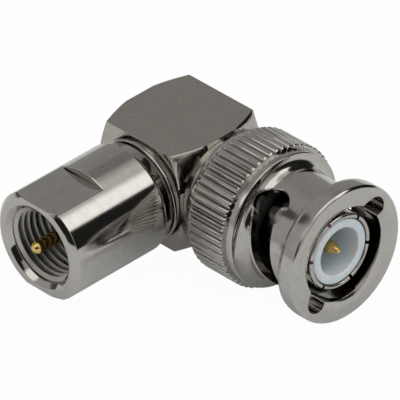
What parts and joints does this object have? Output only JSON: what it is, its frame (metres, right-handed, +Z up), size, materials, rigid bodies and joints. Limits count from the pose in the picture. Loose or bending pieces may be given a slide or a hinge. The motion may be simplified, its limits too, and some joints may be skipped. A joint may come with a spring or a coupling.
{
  "type": "bnc to fme adapter",
  "caption": "Right-angle coaxial adapter: knurled bayonet coupling plug on one leg, threaded barrel plug with centre pin on the other, joined by a square block.",
  "frame": {"origin": "where the axes of the two plugs cross, in the middle of the square block", "axes": "+X out along the bayonet plug, -Y out along the threaded plug, +Z up"},
  "size_m": [0.0284, 0.0276, 0.0152],
  "materials": {
    "block_nickel": "satin nickel plate",
    "shell_nickel": "bright nickel plate",
    "nut_nickel": "bright nickel plate, knurled",
    "barrel_nickel": "bright nickel plate",
    "spring_steel": "bright spring steel",
    "white_insulator": "waxy white fluoropolymer",
    "gilt": "bright gold plate",
    "gasket_rubber": "black silicone rubber"
  },
  "bodies": {
    "adapter": {"elbow_body": "block_nickel", "end_cap": "block_nickel", "plug_shell": "shell_nickel", "plug_insulator": "white_insulator", "plug_pin": "gilt", "gasket": "gasket_rubber", "spring_washer_1": "spring_steel", "spring_washer_2": "spring_steel", "fme_shell": "barrel_nickel", "fme_insulator": "white_insulator", "fme_pin": "gilt"},
    "nut_carriage": {"thrust_washer": "spring_steel"},
    "nut": {"coupling_nut": "nut_nickel", "retaining_ring": "spring_steel"}
  },
  "joints": [
    {"name": "nut_draw", "type": "slide", "parent": "adapter", "child": "nut_carriage", "axis": [1, 0, 0], "range_m": [0, 0.0007], "stiffness_N_per_m": 4000, "springref_m": -0.0003, "deforming": ["spring_washer_1", "spring_washer_2"]},
    {"name": "nut_turn", "type": "hinge", "parent": "nut_carriage", "child": "nut", "pos_m": [0.0105, 0, 0], "axis": [1, 0, 0], "continuous": true}
  ]
}
